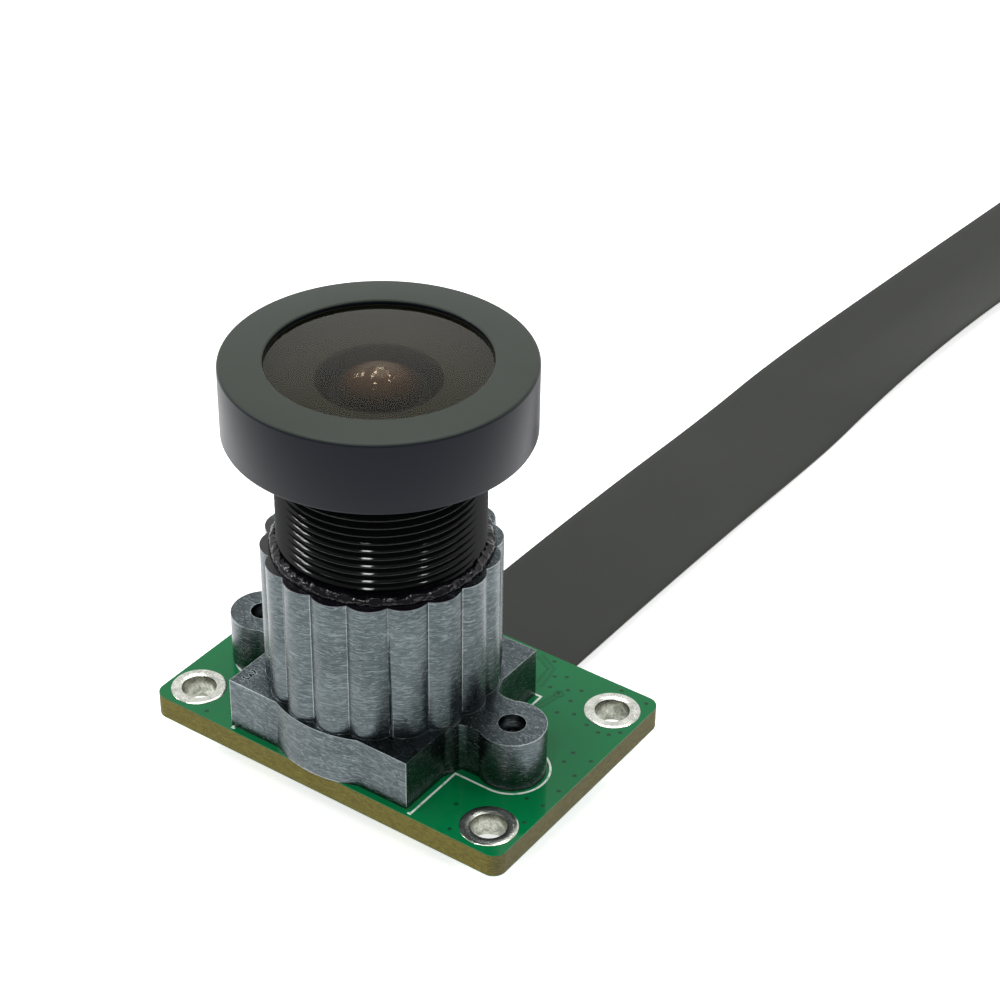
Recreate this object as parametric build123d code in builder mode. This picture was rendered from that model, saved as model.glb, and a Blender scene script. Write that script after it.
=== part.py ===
import os
from math import sqrt, tan, radians

from build123d import *

# A board camera: circuit board, scalloped lens holder, threaded lens and flat ribbon cable.
# The origin is the middle of the four mounting holes on the underside of the board.
# +Z points out of the lens and +Y to the ribbon's exit. All sizes are in millimetres.

# Circuit board and its mounting holes
hole_spacing_x = 21.0
hole_spacing_y = 12.5
hole_diameter = 2.0
pad_diameter = 3.3
pad_thickness = 0.05
plating_wall = 0.1
margin_left = 1.84
margin_right = 1.96
margin_front = 1.97
margin_back = 2.32
board_thickness = 1.5
board_corner = 0.8

# Lens holder
base_side = 12.65
base_height = 3.3
base_inset = 0.39
base_wall = 1.5
base_corner = 0.15
axis_shift = 0.36
cavity_depth = 2.5
roof_thickness = 1.0
window_diameter = 8.0
foot_step = 0.12
tower_height = 8.82
tower_wall = 0.5
lobe_count = 18
lobe_depth = 0.38
ear_diameter = 4.0
ear_reach = 2.675
ear_waist = 0.3
ear_fillet = 0.9
ear_waist_fillet = 0.6
neck_fillet_share = 0.6

# Holder screws, driven from the underside
screw_diameter = 1.52
screw_clearance = 0.04
board_screw_clearance = 0.14
screw_engagement = 2.3
screw_head_diameter = 2.8
screw_head_height = 0.9
screw_head_edge = 0.25
screw_recess_width = 0.3
screw_recess_depth = 0.45

# Image sensor and filter
sensor_length = 7.6
sensor_width = 5.9
sensor_thickness = 0.55
sensor_glass_thickness = 0.4
filter_margin = 0.5
filter_thickness = 0.3

# Lens barrel and front cap
thread_diameter = 11.8
thread_clearance = 0.05
thread_depth = 7.42
thread_exposed = 7.44
barrel_chamfer = 0.3
ridge_count = 6
ridge_depth = 0.3
barrel_ledge = 1.2
barrel_ledge_width = 0.8
bead_width = 0.46
bead_height = 0.4
bead_edge = 0.1
head_wall = 1.03
head_height = 4.36
head_edge = 0.2
head_lower_edge = 0.2
opening_diameter = 12.4
lip_thickness = 0.3
lip_width = 0.55
flange_height = 1.74
flange_step = 0.85
glass_clearance = 0.05

# Lens elements
element_diameter = 8.4
element_clearance = 0.03
spacer_wall = 1.0
zone_margin = 0.1
rear_lens_edge = 1.0
rear_lens_rise = 0.6
rear_spacer_height = 1.4
fifth_lens_edge = 0.9
cement_rise = 0.4
fourth_lens_edge = 0.8
fourth_lens_rise = 0.5
stop_spacer_height = 1.2
stop_thickness = 0.3
stop_diameter = 2.4
middle_spacer_height = 1.0
third_lens_edge = 1.2
third_lens_rise = 0.5
second_lens_edge = 0.8
second_dome_diameter = 5.5
second_dome_height = 1.9
second_hollow_wall = 0.5
second_hollow_height = 0.8
retainer_height = 0.8
retainer_gap = 0.2
seat_gap = 0.2
bowl_diameter = 6.8
bowl_depth = 1.6
front_sag = 0.3
seal_width = 0.6
seal_height = 0.45
seal_inset = 0.5

# Ribbon connector under the board
contact_count = 18
contact_pitch = 0.5
contact_width = 0.2
contact_thickness = 0.15
contact_tail = 0.7
contact_reach = 2.45
connector_height = 2.0
connector_depth = 4.0
connector_end = 2.1
connector_setback = 0.22
slot_depth = 3.0
slot_clearance = 0.15
lock_gap = 0.05
lock_bar_depth = 1.15
lock_top_gap = 0.35
lock_floor_gap = 0.1
lock_window = 0.1
lock_slip = 0.02
lock_tongue = 2.2
lock_tongue_thickness = 0.45
lock_arm_length = 2.4
lock_arm_width = 0.6
lock_arm_height = 0.8
tab_length = 0.9
tab_width = 1.2
tab_thickness = 0.15
tab_height = 1.3
tab_inset = 0.3

# Ribbon cable
ribbon_width = 9.4
ribbon_thickness = 0.2
ribbon_drop = 0.8
insertion_gap = 0.1
bend_share = 0.45
stiffener_thickness = 0.1
stiffener_length = 6.0
bare_contact_length = 4.0
bare_contact_width = 0.3
bare_contact_thickness = 0.03

# Small parts soldered to the underside
tantalum_size = (3.2, 1.6, 1.7)
tantalum_spacing = 10.0
tantalum_setback = 3.0
regulator_size = (2.9, 1.6, 1.1)
regulator_lead = (0.4, 0.6, 0.15)
regulator_pitch = 0.95
oscillator_size = (2.5, 2.0, 0.8)
memory_size = (3.0, 2.0, 0.55)
capacitor_size = (1.0, 0.5, 0.5)
resistor_size = (1.0, 0.5, 0.35)
terminal_length = 0.25
terminal_coat = 0.02
package_edge = 0.12

# Places that follow from the sizes above
board_left = -hole_spacing_x / 2 - margin_left
board_right = hole_spacing_x / 2 + margin_right
board_front = -hole_spacing_y / 2 - margin_front
board_back = hole_spacing_y / 2 + margin_back
board_x = (board_left + board_right) / 2
board_y = (board_front + board_back) / 2
lens_x = board_x - axis_shift
lens_y = board_front + base_inset + base_side / 2
base_top = board_thickness + base_height
cavity_top = board_thickness + cavity_depth
bore_floor = cavity_top + roof_thickness
tower_top = base_top + tower_height
thread_radius = thread_diameter / 2
bore_radius = thread_radius + thread_clearance
valley_radius = bore_radius + tower_wall
crest_radius = valley_radius + lobe_depth
foot_radius = crest_radius + foot_step
ear_offset = base_side / 2 + ear_reach
barrel_bottom = tower_top - thread_depth
head_bottom = tower_top + thread_exposed
head_top = head_bottom + head_height
glass_seat = head_bottom + flange_height
glass_top = head_top - lip_thickness
glass_radius = opening_diameter / 2 + lip_width
flange_radius = glass_radius + flange_step
head_radius = flange_radius + head_wall
element_radius = element_diameter / 2
barrel_bore = element_radius + element_clearance
clear_radius = element_radius - spacer_wall
lens_axis = Axis((lens_x, lens_y, 0), (0, 0, 1))
lens_section = Plane(origin=(lens_x, lens_y, 0), x_dir=(1, 0, 0), z_dir=(0, -1, 0))

os.makedirs("parts", exist_ok=True)


def across_lens(height):
    return Plane(origin=(lens_x, lens_y, height))


def keep(piece, label):
    piece.part.label = label
    export_step(piece.part, f"parts/{label}.step")


# Circuit board: rounded plate with the mounting holes and the holder's screw holes
mounting_places = [
    (side_x * hole_spacing_x / 2, side_y * hole_spacing_y / 2) for side_y in (-1, 1) for side_x in (-1, 1)
]
ear_places = [(lens_x - ear_offset, lens_y), (lens_x + ear_offset, lens_y)]
with BuildPart() as circuit_board:
    with BuildSketch(Plane(origin=(board_x, board_y, 0))):
        RectangleRounded(board_right - board_left, board_back - board_front, board_corner)
    extrude(amount=board_thickness)
    with BuildSketch():
        with Locations(*mounting_places):
            Circle(hole_diameter / 2 + plating_wall)
        with Locations(*ear_places):
            Circle(screw_diameter / 2 + board_screw_clearance)
    extrude(amount=board_thickness, mode=Mode.SUBTRACT)
keep(circuit_board, "circuit_board")


# Plated mounting holes: a pad ring on each face and the barrel that joins them
def plated_hole(x, y):
    with BuildPart() as plating:
        with BuildSketch(Plane(origin=(x, y, -pad_thickness))):
            Circle(pad_diameter / 2)
        extrude(amount=pad_thickness)
        with BuildSketch(Plane(origin=(x, y, 0))):
            Circle(hole_diameter / 2 + plating_wall)
        extrude(amount=board_thickness)
        with BuildSketch(Plane(origin=(x, y, board_thickness))):
            Circle(pad_diameter / 2)
        extrude(amount=pad_thickness)
        with BuildSketch(Plane(origin=(x, y, -pad_thickness))):
            Circle(hole_diameter / 2)
        extrude(amount=board_thickness + 2 * pad_thickness, mode=Mode.SUBTRACT)
    return plating


for number, (x, y) in enumerate(mounting_places, 1):
    keep(plated_hole(x, y), f"mounting_hole_{number}")

# Lens holder: square base with two waisted ears, round foot, scalloped tower and inner spaces
neck_half = ear_diameter / 2 - ear_waist
neck_run = ear_reach - sqrt((ear_diameter / 2) ** 2 - neck_half**2)
root_fillet = min(ear_fillet, neck_fillet_share * neck_run)
waist_fillet = min(ear_waist_fillet, neck_fillet_share * neck_run)
corner_tolerance = 0.01
with BuildPart() as lens_holder:
    with BuildSketch(across_lens(board_thickness)) as footprint:
        Rectangle(base_side, base_side)
        fillet(footprint.vertices(), base_corner)
        Rectangle(2 * ear_offset, 2 * neck_half)
        with Locations((-ear_offset, 0), (ear_offset, 0)):
            Circle(ear_diameter / 2)
        for reach, radius in ((base_side / 2, root_fillet), (base_side / 2 + neck_run, waist_fillet)):
            corners = [
                corner
                for corner in footprint.vertices()
                if (Vector(abs(corner.X), abs(corner.Y)) - Vector(reach, neck_half)).length < corner_tolerance
            ]
            fillet(corners, radius)
    extrude(amount=base_height)
    with BuildSketch(across_lens(board_thickness)):
        Circle(foot_radius)
    extrude(amount=base_height)
    with BuildSketch(across_lens(base_top)):
        with BuildLine():
            for lobe in range(lobe_count):
                middle = 360 / lobe_count * lobe
                half = 180 / lobe_count
                ThreePointArc(
                    Vector(valley_radius, 0).rotate(Axis.Z, middle - half),
                    Vector(crest_radius, 0).rotate(Axis.Z, middle),
                    Vector(valley_radius, 0).rotate(Axis.Z, middle + half),
                )
        make_face()
    extrude(amount=tower_height)
    with BuildSketch(across_lens(board_thickness)):
        Rectangle(base_side - 2 * base_wall, base_side - 2 * base_wall)
    extrude(amount=cavity_depth, mode=Mode.SUBTRACT)
    with BuildSketch(across_lens(cavity_top)):
        Circle(window_diameter / 2)
    extrude(amount=roof_thickness, mode=Mode.SUBTRACT)
    with BuildSketch(across_lens(bore_floor)):
        Circle(bore_radius)
    extrude(amount=tower_top - bore_floor, mode=Mode.SUBTRACT)
    with BuildSketch(across_lens(board_thickness)):
        with Locations((-ear_offset, 0), (ear_offset, 0)):
            Circle(screw_diameter / 2 + screw_clearance)
    extrude(amount=base_height, mode=Mode.SUBTRACT)
keep(lens_holder, "lens_holder")


# Holder screws: pan head with a cross recess and a plain shank up into the ear
def holder_screw(x, y):
    pan_radius = screw_head_diameter / 2
    recess_length = 2 * (pan_radius - screw_head_edge - screw_recess_width)
    with BuildPart() as screw:
        with BuildSketch(Plane(origin=(x, y, 0), x_dir=(1, 0, 0), z_dir=(0, -1, 0))):
            with BuildLine():
                Polyline(
                    (0, -screw_head_height),
                    (0, board_thickness + screw_engagement),
                    (screw_diameter / 2, board_thickness + screw_engagement),
                    (screw_diameter / 2, 0),
                    (pan_radius, 0),
                    (pan_radius, screw_head_edge - screw_head_height),
                    (pan_radius - screw_head_edge, -screw_head_height),
                    close=True,
                )
            make_face()
        revolve(axis=Axis((x, y, 0), (0, 0, 1)))
        with BuildSketch(Plane(origin=(x, y, -screw_head_height))):
            Rectangle(recess_length, screw_recess_width)
            Rectangle(screw_recess_width, recess_length)
        extrude(amount=screw_recess_depth, mode=Mode.SUBTRACT)
    return screw


for number, (x, y) in enumerate(ear_places, 1):
    keep(holder_screw(x, y), f"holder_screw_{number}")

# Image sensor, its cover glass and the infrared filter under the holder's roof
with BuildPart() as image_sensor:
    with BuildSketch(across_lens(board_thickness)):
        Rectangle(sensor_length, sensor_width)
    extrude(amount=sensor_thickness)
keep(image_sensor, "image_sensor")

with BuildPart() as sensor_cover_glass:
    with BuildSketch(across_lens(board_thickness + sensor_thickness)):
        Rectangle(sensor_length, sensor_width)
    extrude(amount=sensor_glass_thickness)
keep(sensor_cover_glass, "sensor_cover_glass")

filter_side = base_side - 2 * base_wall - 2 * filter_margin
with BuildPart() as infrared_filter:
    with BuildSketch(across_lens(cavity_top - filter_thickness)):
        Rectangle(filter_side, filter_side)
    extrude(amount=filter_thickness)
keep(infrared_filter, "infrared_filter")

# Thread adhesive: a bead in the corner between the tower's top and the lens thread
with BuildPart() as thread_adhesive:
    with BuildSketch(lens_section):
        with BuildLine():
            Polyline(
                (thread_radius, tower_top + bead_height),
                (thread_radius, tower_top),
                (thread_radius + bead_width, tower_top),
                (thread_radius + bead_width, tower_top + bead_edge),
                close=True,
            )
        make_face()
    revolve(axis=lens_axis)
keep(thread_adhesive, "thread_adhesive")

# Lens barrel: tube with an inner ledge at the sensor end and a flange under the front glass. Its
# fine thread is shown by a few coarser ridges, on the length that stands clear of the adhesive.
ledge_top = barrel_bottom + barrel_ledge
seal_outer = glass_radius - seal_inset
ridges_bottom = tower_top + bead_height
ridge_pitch = (head_bottom - ridges_bottom) / ridge_count
ridge_profile = []
for ridge in range(ridge_count):
    valley_height = ridges_bottom + (ridge + 1 / 2) * ridge_pitch
    crest_height = ridges_bottom + (ridge + 1) * ridge_pitch
    ridge_profile += [(thread_radius - ridge_depth, valley_height), (thread_radius, crest_height)]
with BuildPart() as lens_barrel:
    with BuildSketch(lens_section):
        with BuildLine():
            Polyline(
                (barrel_bore - barrel_ledge_width, barrel_bottom),
                (thread_radius - barrel_chamfer, barrel_bottom),
                (thread_radius, barrel_bottom + barrel_chamfer),
                (thread_radius, ridges_bottom),
                *ridge_profile,
                (flange_radius, head_bottom),
                (flange_radius, glass_seat),
                (seal_outer, glass_seat),
                (seal_outer, glass_seat - seal_height),
                (seal_outer - seal_width, glass_seat - seal_height),
                (seal_outer - seal_width, glass_seat),
                (barrel_bore, glass_seat),
                (barrel_bore, ledge_top),
                (barrel_bore - barrel_ledge_width, ledge_top),
                close=True,
            )
        make_face()
    revolve(axis=lens_axis)
keep(lens_barrel, "lens_barrel")

# Front cap: the wide head screwed over the flange, with a thin lip that clamps the front glass
with BuildPart() as lens_front_cap:
    with BuildSketch(lens_section) as cap_profile:
        with BuildLine():
            Polyline(
                (flange_radius, head_bottom),
                (head_radius, head_bottom),
                (head_radius, head_top),
                (opening_diameter / 2, head_top),
                (opening_diameter / 2, glass_top),
                (glass_radius + glass_clearance, glass_top),
                (glass_radius + glass_clearance, glass_seat),
                (flange_radius, glass_seat),
                close=True,
            )
        make_face()
        outer_corners = cap_profile.vertices().group_by(Axis.X)[-1].sort_by(Axis.Y)
        chamfer(outer_corners[-1], head_edge)
        chamfer(outer_corners[0], head_lower_edge)
    revolve(axis=lens_axis)
keep(lens_front_cap, "lens_front_cap")


def ring(outer_radius, inner_radius, bottom, height):
    with BuildPart() as piece:
        with BuildSketch(across_lens(bottom)):
            Circle(outer_radius)
            Circle(inner_radius, mode=Mode.SUBTRACT)
        extrude(amount=height)
    return piece


# A lens element has a flat edge and a round surface on each face, each given by its radius across
# and by how far its middle lies above its edge, which is below it where the number is negative.
def element(radius, bottom, edge, rear_zone, rear_rise, front_zone, front_rise):
    top = bottom + edge
    front_middle = top + front_rise
    rear_middle = bottom + rear_rise
    with BuildPart() as piece:
        with BuildSketch(lens_section):
            with BuildLine():
                TangentArc((0, front_middle), (front_zone, top), tangent=(1, 0))
                Polyline((front_zone, top), (radius, top), (radius, bottom), (rear_zone, bottom))
                if rear_rise == 0:
                    Line((rear_zone, bottom), (0, bottom))
                else:
                    TangentArc((0, rear_middle), (rear_zone, bottom), tangent=(1, 0))
                Line((0, rear_middle), (0, front_middle))
            make_face()
        revolve(axis=lens_axis)
    return piece


# Front glass: slightly domed in front, with the deep bowl behind it
front_zone = opening_diameter / 2 - glass_clearance
glass_edge = glass_top - glass_seat
keep(
    element(glass_radius, glass_seat, glass_edge, bowl_diameter / 2, bowl_depth, front_zone, front_sag),
    "front_glass",
)
keep(ring(seal_outer, seal_outer - seal_width, glass_seat - seal_height, seal_height), "front_seal")

# The stack inside the barrel, each piece standing on the one before. The fourth and fifth lens are
# cemented to each other on the surface that they share.
zone = clear_radius - zone_margin
rear_lens_bottom = ledge_top
rear_spacer_bottom = rear_lens_bottom + rear_lens_edge
fifth_lens_bottom = rear_spacer_bottom + rear_spacer_height
fourth_lens_bottom = fifth_lens_bottom + fifth_lens_edge
stop_spacer_bottom = fourth_lens_bottom + fourth_lens_edge
stop_bottom = stop_spacer_bottom + stop_spacer_height
middle_spacer_bottom = stop_bottom + stop_thickness
third_lens_bottom = middle_spacer_bottom + middle_spacer_height
front_spacer_bottom = third_lens_bottom + third_lens_edge
retainer_bottom = glass_seat - seat_gap - retainer_height
second_lens_bottom = retainer_bottom - second_lens_edge
front_spacer_height = second_lens_bottom - front_spacer_bottom
dome_zone = second_dome_diameter / 2
hollow_zone = dome_zone - second_hollow_wall
keep(element(element_radius, rear_lens_bottom, rear_lens_edge, zone, 0, zone, rear_lens_rise), "rear_lens")
keep(ring(element_radius, clear_radius, rear_spacer_bottom, rear_spacer_height), "rear_spacer")
keep(element(element_radius, fifth_lens_bottom, fifth_lens_edge, zone, 0, zone, -cement_rise), "fifth_lens")
keep(
    element(
        element_radius, fourth_lens_bottom, fourth_lens_edge, zone, -cement_rise, zone, fourth_lens_rise
    ),
    "fourth_lens",
)
keep(ring(element_radius, clear_radius, stop_spacer_bottom, stop_spacer_height), "stop_spacer")
keep(ring(element_radius, stop_diameter / 2, stop_bottom, stop_thickness), "aperture_stop")
keep(ring(element_radius, clear_radius, middle_spacer_bottom, middle_spacer_height), "middle_spacer")
keep(
    element(element_radius, third_lens_bottom, third_lens_edge, zone, 0, zone, third_lens_rise),
    "third_lens",
)
keep(ring(element_radius, clear_radius, front_spacer_bottom, front_spacer_height), "front_spacer")
keep(
    element(
        element_radius,
        second_lens_bottom,
        second_lens_edge,
        hollow_zone,
        second_hollow_height,
        dome_zone,
        second_dome_height,
    ),
    "second_lens",
)
keep(ring(element_radius, dome_zone + retainer_gap, retainer_bottom, retainer_height), "element_retainer")

# Ribbon connector housing: a low block with the ribbon's slot, grooves for the lock's arms and a
# narrow way through the rear wall for each contact
housing_width = ribbon_width + 2 * connector_end
lock_front = board_back - connector_setback
housing_front = lock_front - lock_bar_depth - lock_gap
housing_rear = housing_front - connector_depth
slot_rear = housing_front - slot_depth
ribbon_top = -ribbon_drop
contact_top = ribbon_top + contact_thickness
tongue_top = ribbon_top - ribbon_thickness - stiffener_thickness - lock_slip
tongue_bottom = tongue_top - lock_tongue_thickness
slot_bottom = tongue_bottom - lock_slip
arm_top = (slot_bottom + contact_top + lock_arm_height) / 2
arm_bottom = arm_top - lock_arm_height
contact_places = [
    board_x + (index - (contact_count - 1) / 2) * contact_pitch for index in range(contact_count)
]
with BuildPart() as connector_housing:
    with BuildSketch(Plane(origin=(board_x, 0, -connector_height))):
        with Locations((0, housing_rear)):
            Rectangle(housing_width, connector_depth, align=(Align.CENTER, Align.MIN))
    extrude(amount=connector_height)
    with BuildSketch(Plane(origin=(board_x, 0, slot_bottom))):
        with Locations((0, slot_rear)):
            Rectangle(ribbon_width + 2 * slot_clearance, slot_depth, align=(Align.CENTER, Align.MIN))
    extrude(amount=contact_top - slot_bottom, mode=Mode.SUBTRACT)
    with BuildSketch(Plane(origin=(board_x, 0, arm_bottom - lock_gap))):
        with Locations((-housing_width / 2, housing_front), (housing_width / 2, housing_front)):
            Rectangle(2 * (lock_arm_width + lock_gap), 2 * (lock_arm_length + lock_gap))
    extrude(amount=lock_arm_height + 2 * lock_gap, mode=Mode.SUBTRACT)
    with BuildSketch(Plane(origin=(0, 0, ribbon_top))):
        with Locations(*[(x, housing_rear) for x in contact_places]):
            Rectangle(contact_width, connector_depth - slot_depth, align=(Align.CENTER, Align.MIN))
    extrude(amount=contact_thickness, mode=Mode.SUBTRACT)
keep(connector_housing, "connector_housing")

# Sliding lock: a bar across the mouth with a window for the ribbon, a tongue under it and two arms
with BuildPart() as connector_lock:
    with BuildSketch(Plane(origin=(board_x, 0, -connector_height + lock_floor_gap))):
        with Locations((0, housing_front + lock_gap)):
            Rectangle(housing_width, lock_bar_depth, align=(Align.CENTER, Align.MIN))
    extrude(amount=connector_height - lock_floor_gap - lock_top_gap)
    with BuildSketch(Plane(origin=(board_x, 0, tongue_top))):
        with Locations((0, housing_front + lock_gap)):
            Rectangle(
                ribbon_width + 2 * slot_clearance, lock_bar_depth, align=(Align.CENTER, Align.MIN)
            )
    extrude(amount=ribbon_top + lock_window - tongue_top, mode=Mode.SUBTRACT)
    with BuildSketch(Plane(origin=(board_x, 0, tongue_bottom))):
        with Locations((0, housing_front + lock_gap)):
            Rectangle(ribbon_width, lock_tongue + lock_gap, align=(Align.CENTER, Align.MAX))
    extrude(amount=lock_tongue_thickness)
    with BuildSketch(Plane(origin=(board_x, 0, arm_bottom))):
        arm_middle = (housing_width - lock_arm_width) / 2
        with Locations((-arm_middle, housing_front + lock_gap), (arm_middle, housing_front + lock_gap)):
            Rectangle(lock_arm_width, lock_arm_length + lock_gap, align=(Align.CENTER, Align.MAX))
    extrude(amount=lock_arm_height)
keep(connector_lock, "connector_lock")

# Contacts: soldered tail, riser up the rear wall and a beam that lies on the ribbon in the slot
with BuildPart() as connector_contacts:
    for x in contact_places:
        with BuildSketch(Plane(origin=(x - contact_width / 2, 0, 0), x_dir=(0, 1, 0), z_dir=(1, 0, 0))):
            with BuildLine():
                Polyline(
                    (housing_rear - contact_thickness - contact_tail, 0),
                    (housing_rear, 0),
                    (housing_rear, contact_top),
                    (slot_rear + contact_reach, contact_top),
                    (slot_rear + contact_reach, ribbon_top),
                    (housing_rear - contact_thickness, ribbon_top),
                    (housing_rear - contact_thickness, -contact_thickness),
                    (housing_rear - contact_thickness - contact_tail, -contact_thickness),
                    close=True,
                )
            make_face()
        extrude(amount=contact_width)
keep(connector_contacts, "connector_contacts")

# Solder tabs: an angle at each end of the housing
with BuildPart() as connector_tabs:
    for side in (-1, 1):
        face_x = board_x + side * housing_width / 2
        tab_section = Plane(origin=(face_x, housing_rear + tab_inset, 0), x_dir=(1, 0, 0), z_dir=(0, -1, 0))
        with BuildSketch(tab_section):
            with BuildLine():
                Polyline(
                    (0, 0),
                    (side * tab_length, 0),
                    (side * tab_length, -tab_thickness),
                    (side * tab_thickness, -tab_thickness),
                    (side * tab_thickness, -tab_height),
                    (0, -tab_height),
                    close=True,
                )
            make_face()
        extrude(amount=-tab_width)
keep(connector_tabs, "connector_tabs")

# Ribbon cable: level out of the connector, down to the surface that the module stands on, and
# then along it in a slow bend to its bare end
ribbon_start = slot_rear + insertion_gap
ribbon_level = ribbon_top - ribbon_thickness / 2
ribbon_rest = ribbon_thickness / 2 + stiffener_thickness - connector_height
route = [
    (board_x, ribbon_start, ribbon_level),
    (board_x, 17.0, ribbon_level),
    (board_x, 30.0, -1.2),
    (board_x, 42.0, ribbon_rest),
    (board_x, 52.0, ribbon_rest),
    (1.3, 70.0, ribbon_rest),
    (3.1, 94.0, ribbon_rest),
    (4.3, 118.0, ribbon_rest),
    (5.7, 137.0, ribbon_rest),
    (6.7, 154.0, ribbon_rest),
]
runs = [Vector(*b) - Vector(*a) for a, b in zip(route, route[1:])]
bend_radii = []
for before, after in zip(runs, runs[1:]):
    half_turn = radians(before.get_angle(after)) / 2
    bend_radii.append(bend_share * min(before.length, after.length) / tan(half_turn))
with BuildPart() as ribbon_cable:
    with BuildLine() as ribbon_path:
        FilletPolyline(*route, radius=bend_radii)
    with BuildSketch(Plane(origin=route[0], x_dir=(1, 0, 0), z_dir=runs[0])):
        Rectangle(ribbon_width, ribbon_thickness)
    sweep()
keep(ribbon_cable, "ribbon_cable")
ribbon_length = sum(edge.length for edge in ribbon_path.edges())
print("ribbon length", round(ribbon_length, 2), "bend radii", [round(radius) for radius in bend_radii])

# Ribbon ends: a stiffener under each and bare contacts on top of the far one
stiffener_level = ribbon_level - ribbon_thickness / 2 - stiffener_thickness
with BuildPart() as ribbon_near_stiffener:
    with BuildSketch(Plane(origin=(board_x, ribbon_start, stiffener_level))):
        Rectangle(ribbon_width, stiffener_length, align=(Align.CENTER, Align.MIN))
    extrude(amount=stiffener_thickness)
keep(ribbon_near_stiffener, "ribbon_near_stiffener")

far_end = Plane(origin=route[-1], x_dir=runs[-1].cross(Vector(0, 0, 1)), z_dir=(0, 0, 1))
with BuildPart() as ribbon_far_stiffener:
    with BuildSketch(far_end.offset(-ribbon_thickness / 2 - stiffener_thickness)):
        Rectangle(ribbon_width, stiffener_length, align=(Align.CENTER, Align.MAX))
    extrude(amount=stiffener_thickness)
keep(ribbon_far_stiffener, "ribbon_far_stiffener")

with BuildPart() as ribbon_far_contacts:
    with BuildSketch(far_end.offset(ribbon_thickness / 2)):
        with Locations(*[(x - board_x, 0) for x in contact_places]):
            Rectangle(bare_contact_width, bare_contact_length, align=(Align.CENTER, Align.MAX))
    extrude(amount=bare_contact_thickness)
keep(ribbon_far_contacts, "ribbon_far_contacts")


# Small parts hang from the underside of the board: each block's top face is at height zero
def block(x, y, length, width, height, edge=0.0):
    with BuildPart() as piece:
        with BuildSketch(Plane(origin=(x, y, -height))):
            Rectangle(length, width)
        extrude(amount=height)
        if edge > 0:
            chamfer(piece.edges().group_by(Axis.Z)[0], edge)
    return piece


# Two-terminal chip: a body with a slightly larger metal cap on each end
def chip(x, y, size, turned=False):
    length, width, height = size
    along = (0, 1, 0) if turned else (1, 0, 0)
    cap_middle = (length - terminal_length) / 2
    with BuildPart() as piece:
        with BuildSketch(Plane(origin=(x, y, -height), x_dir=along, z_dir=(0, 0, 1))):
            Rectangle(length, width)
        extrude(amount=height)
        with BuildSketch(Plane(origin=(x, y, -height - terminal_coat), x_dir=along, z_dir=(0, 0, 1))):
            with Locations((-cap_middle, 0), (cap_middle, 0)):
                Rectangle(terminal_length, width + 2 * terminal_coat)
        extrude(amount=height + terminal_coat)
    return piece


# Voltage regulator: moulded body with three leads on one long side and two on the other
def regulator(x, y):
    length, width, height = regulator_size
    lead_width, lead_length, lead_thickness = regulator_lead
    with BuildPart() as piece:
        with BuildSketch(Plane(origin=(x, y, -height))):
            Rectangle(length, width)
        extrude(amount=height)
        chamfer(piece.edges().group_by(Axis.Z)[0], package_edge)
        with BuildSketch(Plane(origin=(x, y, -lead_thickness))):
            with Locations((-regulator_pitch, width / 2), (0, width / 2), (regulator_pitch, width / 2)):
                Rectangle(lead_width, lead_length, align=(Align.CENTER, Align.MIN))
            with Locations((-regulator_pitch, -width / 2), (regulator_pitch, -width / 2)):
                Rectangle(lead_width, lead_length, align=(Align.CENTER, Align.MAX))
        extrude(amount=lead_thickness)
    return piece


# Their places are given from the lens axis, apart from the two blocks that carry the front edge
tantalum_y = board_front + tantalum_setback
for number, side in enumerate((-1, 1), 1):
    x = lens_x + side * tantalum_spacing / 2
    keep(block(x, tantalum_y, *tantalum_size, package_edge), f"tantalum_capacitor_{number}")
regulator_places = [(-4.6, -0.9), (0.4, -0.9)]
for number, (x, y) in enumerate(regulator_places, 1):
    keep(regulator(lens_x + x, lens_y + y), f"voltage_regulator_{number}")
oscillator_x, oscillator_y = (4.9, -1.1)
oscillator = block(lens_x + oscillator_x, lens_y + oscillator_y, *oscillator_size, package_edge)
keep(oscillator, "clock_oscillator")
memory_x, memory_y = (4.6, 1.7)
keep(block(lens_x + memory_x, lens_y + memory_y, *memory_size, package_edge), "memory_chip")
capacitor_places = [(-5.4, 2.3), (-3.6, 2.3), (-1.8, 2.3), (0.0, 2.3), (-2.0, -5.1), (0.4, -5.1)]
for number, (x, y) in enumerate(capacitor_places, 1):
    keep(chip(lens_x + x, lens_y + y, capacitor_size), f"ceramic_capacitor_{number}")
resistor_places = [(-8.0, -4.2), (8.0, -4.2), (-7.7, 2.0), (7.7, 2.0)]
for number, (x, y) in enumerate(resistor_places, 1):
    keep(chip(lens_x + x, lens_y + y, resistor_size, turned=True), f"resistor_{number}")
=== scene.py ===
import math

import bpy
from mathutils import Matrix, Vector


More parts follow.
